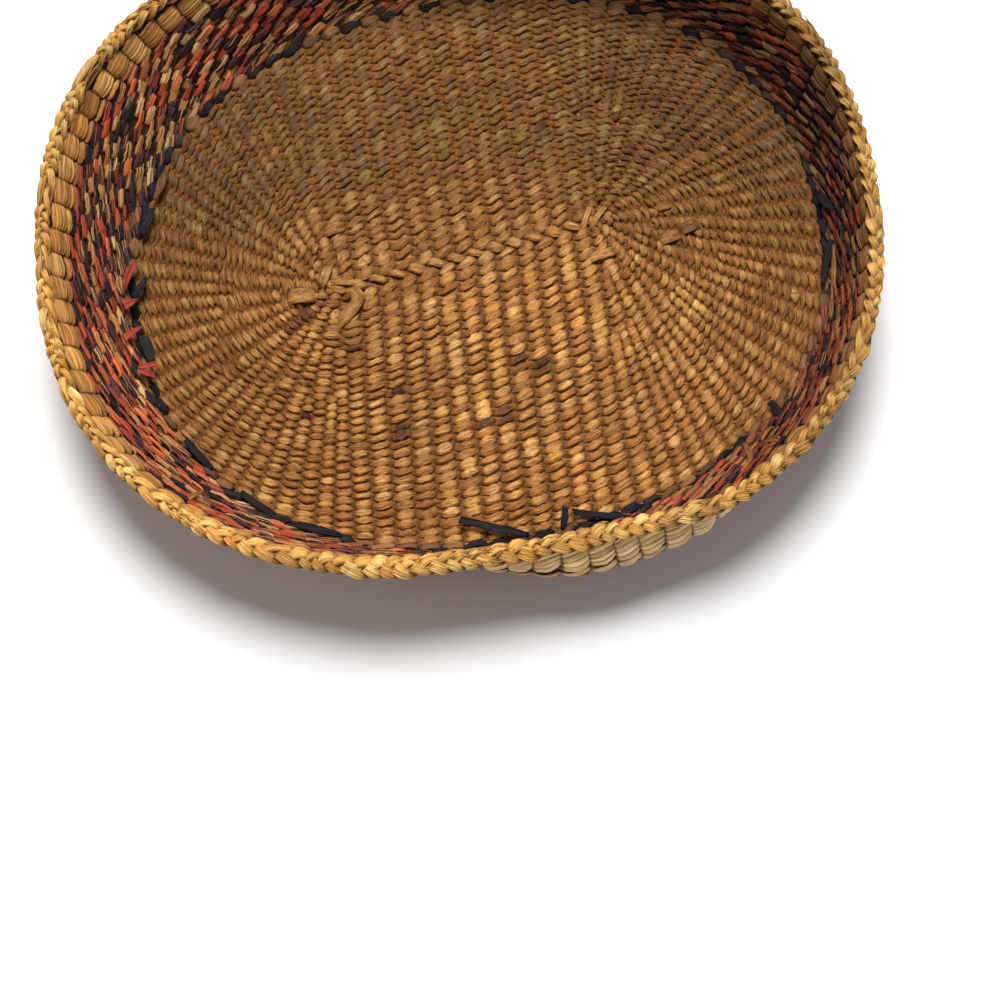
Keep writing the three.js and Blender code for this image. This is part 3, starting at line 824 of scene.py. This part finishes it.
darkMaterial = grassMaterial("darkWeft", darkWeft["material"])
rng = np.random.default_rng(darkWeft["seed"])
darkStrands = twinedRing(ringMeetings(darkRow), darkWeft, rng)
for strand in darkStrands:
    tone = strand["values"]["tone"]
    for x, y, reach in darkWeft["faded"]:
        apart = np.linalg.norm(strand["home"][:, :2] - np.array((x, y)), axis=1)
        faded = 1 - darkWeft["fadedSpread"] + darkWeft["fadedSpread"] * tone
        tone = np.where(apart < reach, faded, tone)
    strand["values"]["tone"] = tone
darkOutline = strandOutline(darkWeft)
addPiece("darkTurnStrands", darkStrands, darkOutline, darkMaterial, "dark_weft", "dark_turn_row")
print("dark course")

# Dyed weft on the wall: stitches staggered from row to row, each strand of straws in two dyes; the last dye
# is for the tufts alone
dyedWeft = {
    "seed": 8, "steps": 8, "sides": 10, "straws": 2, "groove": 0.2, "stagger": 0.5,
    "rise": 0.0010, "flatness": 0.13, "depth": 0.0010, "fill": 1.1, "pinch": 0.5, "taper": 0.45, "fray": 0.16,
    "lean": (0.42,), "crossing": 0.42,
    "widthSpread": 0.4, "riseSpread": 0.0005, "shiftSpread": 0.0006,
    "keep": 0.35,
    "chances": (0.22, 0.11, 0.25, 0.09, 0.13, 0.14, 0.06, 0.0),
    "dyes": [(0.52, 0.080, 0.034), (0.76, 0.175, 0.052), (0.018, 0.015, 0.022), (0.13, 0.045, 0.050),
             (0.38, 0.145, 0.062), (0.60, 0.31, 0.10), (0.76, 0.46, 0.19), (0.36, 0.042, 0.018)],
    "material": {
        "toneFrom": "dye", "underTone": "underDye", "blend": "CONSTANT", "streakAlong": 35.0,
        "streakAround": 8.0, "fibreAlong": 60.0, "fibreAround": 9.0, "fibreShade": 0.85,
        "sideShade": 0.6, "paintedShadeAndStains": (0.85, 1.05, 0.49),
        "diveFrom": 0.75, "diveTo": 1.0, "paintedDiveShade": (0.015, 0.008, 0.008), "roughness": 0.5, "bump": 0.6,
    },
}
dyeCount = len(dyedWeft["dyes"])
dyedWeft["material"]["stops"] = [(which / dyeCount, colour) for which, colour in enumerate(dyedWeft["dyes"])]
dyedMaterial = grassMaterial("dyedWeft", dyedWeft["material"])
rng = np.random.default_rng(dyedWeft["seed"])


def drawDyes(count):
    chances = np.array(dyedWeft["chances"])
    drawn = rng.choice(dyeCount, size=count, p=chances / sum(dyedWeft["chances"]))
    for which in range(2, count):
        if rng.uniform() < dyedWeft["keep"]:
            drawn[which] = drawn[which - 2]
    return {"dye": (drawn + 0.5) / dyeCount, "underDye": (rng.permutation(drawn) + 0.5) / dyeCount}


dyedRings = [twinedRing(ringMeetings(dyedRow + row), dyedWeft, rng, drawDyes) for row in range(rows["dyed"])]
dyedOutline = strandOutline(dyedWeft)
for which, label in enumerate(("first", "second")):
    strands = [pair[which] for pair in dyedRings]
    addPiece(label + "DyedStrands", strands, dyedOutline, dyedMaterial, "dyed_weft", *nodesLike("dyed_row"))
print("dyed weft")

# Tan course and wide border course of bundled straws
tanWeft = {
    "seed": 13, "steps": 6, "sides": 8,
    "rise": 0.0011, "flatness": 0.6, "depth": 0.0014, "fill": 1.25, "pinch": 0.5, "taper": 0.7, "fray": 0.15,
    "lean": (0.3,), "crossing": 0.25,
    "widthSpread": 0.3, "riseSpread": 0.0003, "shiftSpread": 0.0004,
}
wideWeft = {
    "seed": 17, "steps": 10, "sides": 40, "straws": 5, "groove": 0.6,
    "rise": 0.0013, "flatness": 0.5, "depth": 0.0017, "fill": 1.06, "pinch": 0.74, "taper": 0.9, "fray": 0.03,
    "lean": (0.1,), "crossing": 0.1,
    "widthSpread": 0.12, "riseSpread": 0.0003, "shiftSpread": 0.0004,
    "material": {
        "fibreAlong": 60.0, "fibreAround": 20.0, "fibreShade": 0.8,
        "tints": 0.6, "sideShade": 0.5, "paintedShadeAndStains": (0.9, 1.1, 0.55),
        "outsideTint": ((0.93, 0.62, 0.30), 0.92, 0.6), "straws": 5, "paintedStrawLineShade": (0.12, 0.7),
        "diveFrom": 0.7, "diveTo": 1.0, "paintedDiveShade": (0.08, 0.034, 0.010), "roughness": 0.6, "bump": 0.7,
        "stops": [(0.0, (0.44, 0.182, 0.043)), (0.3, (0.55, 0.243, 0.057)), (0.7, (0.64, 0.308, 0.078)),
                  (1.0, (0.74, 0.41, 0.13))],
    },
}
borderMaterial = grassMaterial("borderWeft", wideWeft["material"])
tanStrands = twinedRing(ringMeetings(tanRow), tanWeft, np.random.default_rng(tanWeft["seed"]))
tanOutline = strandOutline(tanWeft)
addPiece("tanBorderStrands", tanStrands, tanOutline, borderMaterial, "border_weft", "border_row_01")
wideStrands = twinedRing(ringMeetings(wideRow), wideWeft, np.random.default_rng(wideWeft["seed"]))
wideOutline = strandOutline(wideWeft)
addPiece("wideBorderStrands", wideStrands, wideOutline, borderMaterial, "border_weft", "border_row_02")
print("border")

# Stakes: flat leaves a little wider than the spaces between ribs, with their ends worked into the braid; up
# the wall they darken as painted shade, so they show as dark gaps between the stitches
stakes = {
    "share": 0.58, "widest": 0.0062, "halfDepth": 0.0004, "sides": 6, "stations": 40, "braidReach": 0.0018,
    "neighbours": 8, "tones": 7, "hues": 11,
    "material": {
        "fibreAlong": 80.0, "fibreAround": 6.0, "fibreShade": 0.6,
        "sideShade": 0.5, "paintedShadeAndStains": (0.85, 0.9, 0.9),
        # Painted shade: stakes go dark brown where they turn up the wall
        "diveFrom": 0.0, "diveTo": 1.0, "paintedDiveShade": (0.045, 0.021, 0.012), "roughness": 0.65, "bump": 0.4,
        "stops": [(0.0, (0.34, 0.142, 0.036)), (1.0, (0.46, 0.200, 0.054))],
    },
}
stakeMaterial = grassMaterial("stakeStem", stakes["material"])


# Distance to the nearest woven-in rib on one side
def ribSpacing(rib, distance, centre, side):
    spacing = np.full(len(distance), 2 * stakes["widest"])
    for step in range(stakes["neighbours"], 0, -1):
        other = (rib + side * step) % ribTotal
        beside = onRib(other, distance * ribLengths[other] / ribLengths[rib])[0]
        apart = np.linalg.norm(beside - centre, axis=1)
        spacing = np.where(distance >= ribStarts[other], apart, spacing)
    return spacing


def ribStake(rib):
    distance = np.linspace(ribStarts[rib], ribLengths[rib], stakes["stations"])
    centre, normal = onRib(rib, distance)
    turned = smoothStep(distance - ribBaseRuns[rib], turnLengths[rib] / 2, turnLengths[rib])
    spacing = np.maximum(ribSpacing(rib, distance, centre, 1), ribSpacing(rib, distance, centre, -1))
    centre = np.concatenate([centre, [centre[-1] + upward * stakes["braidReach"]]])
    normal = np.concatenate([normal, normal[-1:]])
    travel = unit(np.gradient(centre, axis=0))
    across = unit(np.cross(normal, travel))
    size = np.ones(len(centre))
    halfWidth = np.minimum(stakes["share"] * np.append(spacing, spacing[-1]), stakes["widest"])
    values = {"tone": size * (rib % stakes["tones"]) / (stakes["tones"] - 1),
              "hue": size * (rib % stakes["hues"]) / (stakes["hues"] - 1), "dive": np.append(turned, 1)}
    return {"centre": centre, "across": across, "outward": np.cross(travel, across), "halfWidth": halfWidth,
            "halfDepth": size * stakes["halfDepth"], "values": values}


stakeStrands = [ribStake(rib) for rib in range(ribTotal)]
stakeNodes = [name for name in nodesLike("cross_stake", "right_", "left_") if "stitch" not in name]
addPiece("stakes", stakeStrands, strandOutline(stakes), stakeMaterial, "stake_stem", *stakeNodes)
print("stakes")

# Rim braid
braid = {
    "seed": 23, "periods": 50, "steps": 20, "sides": 40, "straws": 5, "groove": 0.5,
    "width": 0.0078, "endNarrowing": 0.26, "endFrom": 0.2, "endTo": 0.9,
    "strandShare": 0.45, "strandDepth": 0.0019, "lift": 0.0014, "tilt": math.radians(34),
    "spread": 0.4, "legSpread": 0.16, "easeReach": 3,
    "coreShare": 0.3, "coreDepth": 0.0009, "coreSides": 8,
    "material": {
        "fibreAlong": 80.0, "fibreAround": 16.0, "fibreShade": 0.65,
        "tints": 0.25, "sideShade": 0.3, "paintedShadeAndStains": (0.80, 1.06, 0.79),
        "diveFrom": 0.25, "diveTo": 1.0, "paintedDiveShade": (0.30, 0.125, 0.030), "roughness": 0.55, "bump": 0.9,
        "stops": [(0.0, (0.80, 0.385, 0.088)), (0.4, (0.94, 0.495, 0.125)), (0.8, (0.98, 0.585, 0.166)),
                  (1.0, (0.99, 0.66, 0.23))],
    },
}
braidMaterial = grassMaterial("rimBraid", braid["material"])
rng = np.random.default_rng(braid["seed"])
braidWaves = handWaves(*handWork["braid"])


# Middle line of the braid, its outward side and its width
def braidLine():
    count = braid["periods"] * braid["steps"]
    level = cadHigh.z - shape["braidHeight"] / 2
    ring = ovalPoints(count, rimLength, rimWidth, shape["rimSquareness"], (0, 0, level), 0, 0)
    side = unit(np.cross(np.roll(ring, -1, axis=0) - np.roll(ring, 1, axis=0), upward))
    towardsEnd = np.abs(np.cos(np.arctan2(ring[:, 1] / rimWidth, ring[:, 0] / rimLength)))
    narrow = smoothStep(towardsEnd, braid["endFrom"], braid["endTo"])
    width = braid["width"] * (1 - braid["endNarrowing"] * narrow)
    ring = ring - side * width[:, None] / 2
    ring = ring - (side * shape["rollIn"] + upward * shape["rollDrop"]) * inStretch(ring, "roll")[:, None]
    side = unit(np.cross(np.roll(ring, -1, axis=0) - np.roll(ring, 1, axis=0), upward))
    return ring, side, width


def closeLine(strand, values):
    closed = {key: np.concatenate([value, value[:1]]) for key, value in strand.items()}
    closed["values"] = {key: np.concatenate([value, value[:1]]) for key, value in values.items()}
    return closed


def braidStrand(which):
    ring, side, width = braidLine()
    count = len(ring)
    share = np.arange(count) / count
    pace = braid["legSpread"] * unevenness(braidWaves, share * ribTotal, 0)
    phase = 2 * np.pi * (np.arange(count) / braid["steps"] + which / 3 + pace)
    strandWidth = braid["strandShare"] * width
    swing = (width - strandWidth) / 2
    lift = braid["lift"] * np.sin(2 * phase)
    centre = ring + side * (swing * np.sin(phase))[:, None] + upward * lift[:, None]
    travel = unit(np.roll(centre, -1, axis=0) - np.roll(centre, 1, axis=0))
    flat = unit(side - travel * np.sum(side * travel, axis=1, keepdims=True))
    rise = np.cross(travel, flat)
    tilt = (braid["tilt"] * np.sin(phase))[:, None]
    across = flat * np.cos(tilt) + rise * np.sin(tilt) * -np.sign(rise[:, 2:3])
    outward = np.cross(travel, across)
    legs = 2 * braid["periods"]
    leg = np.floor(phase / np.pi).astype(int) % legs
    legTone = rng.uniform(0, 1, legs)[leg]
    legWidth = 1 + braid["spread"] * rng.uniform(-1, 1, legs)[leg]
    reach = braid["easeReach"]
    window = 2 * reach + 1
    wrapped = np.concatenate([legWidth[-reach:], legWidth, legWidth[:reach]])
    smooth = np.convolve(wrapped, np.ones(window) / window, "valid")
    strand = {"centre": centre, "across": across, "outward": outward,
              "halfWidth": strandWidth / 2 * smooth, "halfDepth": np.full(count, braid["strandDepth"] / 2)}
    # The dive value marks painted shade in the gaps between the braid's legs
    values = {"tone": legTone, "hue": rng.uniform(0, 1, legs)[leg], "dive": np.clip(-np.sin(2 * phase), 0, 1)}
    return closeLine(strand, values)


def braidCore():
    ring, side, width = braidLine()
    level = np.zeros((len(ring), 1)) + upward
    core = {"centre": ring, "across": side, "outward": level, "halfWidth": braid["coreShare"] * width,
            "halfDepth": np.full(len(ring), braid["coreDepth"] / 2)}
    return closeLine(core, {key: np.zeros(len(ring)) for key in ("tone", "hue", "dive")})


braidOutline = strandOutline(braid)
for which, label in enumerate(("first", "second", "third")):
    strands = [braidStrand(which)]
    node = f"braid_strand_{which + 1}"
    addPiece(label + "BraidStrand", strands, braidOutline, braidMaterial, "rim_braid", node)
coreOutline = strandOutline({"sides": braid["coreSides"]})
addPiece("braidCore", [braidCore()], coreOutline, stakeMaterial, "stake_stem")
print("braid")

# Cut and broken ends of weft, in millimetres: points, width, tone, hue, roll; a tuft has its dye's number as
# its tone and its own taper
looseEnds = {
    "seed": 31, "depth": 0.35, "sides": 24, "straws": 3, "groove": 0.3,
    "blackTaper": (0.85, 0.5), "blackReach": 0.4, "blackSlant": 0.7,
    "black": [
        ([(-65.0, -90.6, 6.4), (-58.0, -93.2, 6.6), (-49.5, -95.8, 6.0)], 2.8, 0.3, 0.1, 8),
        ([(-8.7, -94.4, 7.4), (-0.9, -97.0, 7.4), (6.5, -99.4, 7.0), (14.6, -101.7, 5.4)], 3.2, 0.5, 0.4, 10),
        ([(27.9, -93.4, 7.5), (27.3, -97.0, 7.5), (26.2, -100.9, 6.5)], 2.5, 0.2, 0.6, 6),
        ([(30.4, -95.2, 6.8), (40.0, -97.4, 6.8), (54.0, -99.4, 5.8)], 2.4, 0.4, 0.8, 8),
        ([(-112.8, 20.5, 8.5), (-110.6, 24.4, 9.0), (-108.2, 29.6, 8.0)], 4.4, 0.3, 0.3, -14),
        ([(-116.5, -3.7, 8.5), (-114.0, -0.7, 9.0), (-111.6, 3.4, 7.4)], 3.2, 0.4, 0.5, -14),
        ([(-113.8, -18.2, 8.0), (-112.3, -22.9, 8.0), (-111.3, -27.5, 6.8)], 4.0, 0.55, 0.7, -18),
        ([(-101.0, -57.4, 8.0), (-96.2, -63.8, 6.6), (-92.4, -68.0, 5.4)], 2.8, 0.3, 0.3, -16),
        ([(-83.0, -78.0, 7.6), (-77.2, -82.8, 6.6), (-72.0, -86.4, 5.4)], 2.6, 0.3, 0.6, -10),
        ([(129.4, 13.0, 8.6), (131.0, 9.0, 10.6), (133.6, 4.6, 12.4)], 3.4, 0.3, 0.1, 40),
        ([(138.4, 6.6, 24.0), (136.2, 5.0, 19.0), (133.6, 3.4, 14.0)], 3.2, 0.3, 0.4, 50),
        ([(132.0, -5.6, 10.2), (129.0, -13.0, 8.2), (127.2, -21.0, 6.6)], 3.0, 0.3, 0.8, 30),
        ([(133.2, -33.0, 24.0), (131.8, -36.0, 20.0), (130.0, -39.0, 15.0)], 2.8, 0.3, 0.5, 50),
        ([(102.6, -62.6, 8.0), (104.6, -66.2, 9.4), (107.0, -70.0, 9.6)], 2.8, 0.3, 0.9, 24),
        ([(-91.6, -88.8, 25.0), (-88.2, -91.0, 24.4), (-85.2, -92.8, 22.6)], 2.6, 0.3, 0.9, 0),
    ],
    "tuftReach": 1.0, "tuftSlant": 0.5,
    "tuft": [
        ([(-119.2, -1.1, 11.0), (-117.5, 3.5, 11.0), (-115.9, 8.3, 9.8)], 4.4, 7, 0.2, -30, (0.45, 1.0)),
        ([(-119.6, -7.3, 11.5), (-117.4, -6.2, 10.6), (-115.4, -4.8, 9.0)], 5.8, 7, 0.6, -20, (1.0, 0.25)),
        ([(-120.0, -19.4, 11.0), (-117.4, -17.6, 10.5), (-114.3, -15.1, 9.0)], 4.2, 7, 0.4, -26, (0.9, 0.4)),
        ([(-115.5, -30.7, 10.5), (-112.5, -30.1, 10.0), (-109.7, -28.8, 8.0)], 2.5, 7, 0.8, -10, (0.6, 1.0)),
        ([(-115.4, -31.6, 10.5), (-112.6, -32.8, 10.0), (-110.2, -33.2, 8.0)], 2.5, 7, 0.5, -10, (0.6, 1.0)),
        ([(129.0, -32.4, 11.0), (131.0, -31.2, 15.6), (132.6, -30.0, 21.0)], 3.0, 0, 0.3, 60, (0.8, 0.5)),
    ],
    "tanTaper": (0.5, 0.4), "tanReach": 0.5, "tanSlant": 0.5,
    "tan": [
        ([(-102.8, 43.4, 8.0), (-104.6, 38.3, 8.6), (-107.3, 33.0, 7.4)], 3.2, 0.55, 0.2, -10),
        ([(-7.8, -93.4, 8.0), (-0.7, -95.6, 8.0), (5.9, -98.0, 7.4)], 0.9, 0.1, 0.66, 0),
        ([(132.2, -7.6, 10.4), (130.8, -18.0, 10.4), (128.8, -29.0, 8.6)], 2.0, 0.5, 0.5, 30),
        ([(134.6, -4.4, 14.0), (134.0, -14.0, 16.4), (132.0, -23.6, 16.0)], 2.4, 0.2, 0.66, 50),
        ([(-101.5, -85.6, 26.0), (-97.2, -83.0, 26.6), (-93.4, -80.6, 23.6)], 2.0, 0.4, 0.66, 0),
        ([(93.7, -83.0, 24.0), (96.8, -81.7, 27.6), (100.8, -82.4, 28.0), (101.5, -84.6, 26.0)],
         1.6, 0.2, 0.66, 20),
        ([(90.0, -79.5, 19.0), (91.4, -84.2, 20.4), (90.2, -88.2, 19.0)], 2.2, 0.1, 0.1, 30),
    ],
}


def looseList(key):
    rng = np.random.default_rng(looseEnds["seed"])
    blades = []
    for points, width, tone, hue, roll, *taper in looseEnds[key]:
        slant = rng.uniform(-1, 1, 2) * looseEnds[key + "Slant"]
        ends = taper[0] if taper else looseEnds[key + "Taper"]
        reach = looseEnds[key + "Reach"]
        blades.append(looseStraw(points, width, looseEnds["depth"], tone, hue, roll, ends, reach, slant))
    return blades


endOutline = strandOutline(looseEnds)
addPiece("blackLooseEnds", looseList("black"), endOutline, darkMaterial, "dark_weft")
tufts = looseList("tuft")
for tuft in tufts:
    tuft["values"]["dye"] = (tuft["values"]["tone"] + 0.5) / dyeCount
    tuft["values"]["underDye"] = tuft["values"]["dye"]
addPiece("redTufts", tufts, endOutline, dyedMaterial, "dyed_weft")
addPiece("tanLooseEnds", looseList("tan"), endOutline, strawMaterial, "border_weft")
print("loose ends")

# Broken fibres that lie over the braid
strays = {
    "seed": 37, "count": 150, "length": (7, 17), "width": (0.35, 0.8), "depth": 0.3,
    "sides": 6, "stations": 8, "startAside": 0.32, "mostAside": 0.34, "turn": 0.5,
    "top": 0.0021, "round": 3, "lift": 0.0007, "firstLift": (-1.6, 0.3), "lastLift": (-1.6, 1),
    "taper": (0.4, 0.2),
}


def strayFibres():
    rng = np.random.default_rng(strays["seed"])
    ring, side, width = braidLine()
    fibres = []
    for _ in range(strays["count"]):
        first = rng.integers(len(ring))
        index = (first + np.linspace(0, rng.integers(*strays["length"]), 3).astype(int)) % len(ring)
        aside = rng.uniform(-strays["startAside"], strays["startAside"])
        aside = aside + rng.uniform(-strays["turn"], strays["turn"]) * np.array([0, 0.5, 1])
        aside = np.clip(aside, -strays["mostAside"], strays["mostAside"])
        lift = np.array([rng.uniform(*strays["firstLift"]), 0, rng.uniform(*strays["lastLift"])])
        height = strays["top"] * np.sqrt(1 - strays["round"] * aside ** 2) + strays["lift"] * lift
        points = ring[index] + side[index] * (aside * width[index])[:, None] + upward * height[:, None]
        fibreWidth = rng.uniform(*strays["width"])
        tone = rng.uniform(0, 1)
        hue = rng.uniform(0, 1)
        fibres.append(looseStraw(points * perMetre, fibreWidth, strays["depth"], tone, hue,
                                 taper=strays["taper"], count=strays["stations"]))
    return fibres


addPiece("strayFibres", strayFibres(), strandOutline(strays), braidMaterial, "rim_braid")
print("stray fibres")

# Floor, light and camera
stage = {
    "floorRadius": 1.0, "floorSides": 96,
    "floorColour": (0.94, 0.94, 0.94), "floorRoughness": 0.8, "floorSpecular": 0.1,
    "worldColour": (1.0, 1.0, 1.0), "worldStrength": 0.17,
    "keyPlace": (0.02, 0.64, 1.50), "keySize": 0.8, "keyPower": 33.5,
    "fillPlace": (0.12, -1.30, 0.14), "fillSize": 0.7, "fillPower": 3.8,
    "sidePlaces": ((-1.2, 0.45, 0.16), (1.2, 0.45, 0.16)), "sideSize": 0.6, "sidePower": 2.5,
    "aim": (0.0, 0.0, 0.0),
}
floorGrid = bmesh.new()
bmesh.ops.create_circle(floorGrid, cap_ends=True, segments=stage["floorSides"], radius=stage["floorRadius"])
floorMesh = bpy.data.meshes.new("floor")
floorGrid.to_mesh(floorMesh)
floorGrid.free()
floor = bpy.data.objects.new("floor", floorMesh)
scene.collection.objects.link(floor)
floorMaterial = bpy.data.materials.new("floorPaper")
floorMaterial.use_nodes = True
floorShader = floorMaterial.node_tree.nodes["Principled BSDF"]
floorShader.inputs["Base Color"].default_value = (*stage["floorColour"], 1)
floorShader.inputs["Roughness"].default_value = stage["floorRoughness"]
floorShader.inputs["Specular IOR Level"].default_value = stage["floorSpecular"]
floorMesh.materials.append(floorMaterial)

world = bpy.data.worlds.new("studio")
world.use_nodes = True
background = world.node_tree.nodes["Background"]
background.inputs["Color"].default_value = (*stage["worldColour"], 1)
seen = addNode(world.node_tree, "ShaderNodeLightPath").outputs["Is Camera Ray"]
strength = mapRange(world.node_tree, seen, 0.0, 1.0, stage["worldStrength"], 1.0)  # white behind the floor
world.node_tree.links.new(strength, background.inputs["Strength"])
scene.world = world


def areaLight(name, position, size, power):
    lamp = bpy.data.lights.new(name, "AREA")
    lamp.shape = "DISK"
    lamp.size = size
    lamp.energy = power
    light = bpy.data.objects.new(name, lamp)
    light.location = position
    light.rotation_euler = (Vector(stage["aim"]) - Vector(position)).to_track_quat("-Z", "Y").to_euler()
    scene.collection.objects.link(light)


areaLight("keyLight", stage["keyPlace"], stage["keySize"], stage["keyPower"])
areaLight("fillLight", stage["fillPlace"], stage["fillSize"], stage["fillPower"])
for label, position in zip(("left", "right"), stage["sidePlaces"]):
    areaLight(label + "Light", position, stage["sideSize"], stage["sidePower"])

view = {
    "azimuth": math.radians(-5.3), "elevation": math.radians(76), "target": (0.0059, -0.0871, 0.0),
    "distance": 0.662, "lens": 68.4, "sensor": 36.0, "clipStart": 0.01,
}
cameraData = bpy.data.cameras.new("camera")
cameraData.lens = view["lens"]
cameraData.sensor_width = view["sensor"]
cameraData.clip_start = view["clipStart"]
camera = bpy.data.objects.new("camera", cameraData)
back = Vector((math.sin(view["azimuth"]) * math.cos(view["elevation"]),
               -math.cos(view["azimuth"]) * math.cos(view["elevation"]), math.sin(view["elevation"])))
camera.location = Vector(view["target"]) + back * view["distance"]
camera.rotation_euler = (-back).to_track_quat("-Z", "Y").to_euler()
scene.collection.objects.link(camera)
scene.camera = camera
scene.view_settings.view_transform = "Standard"
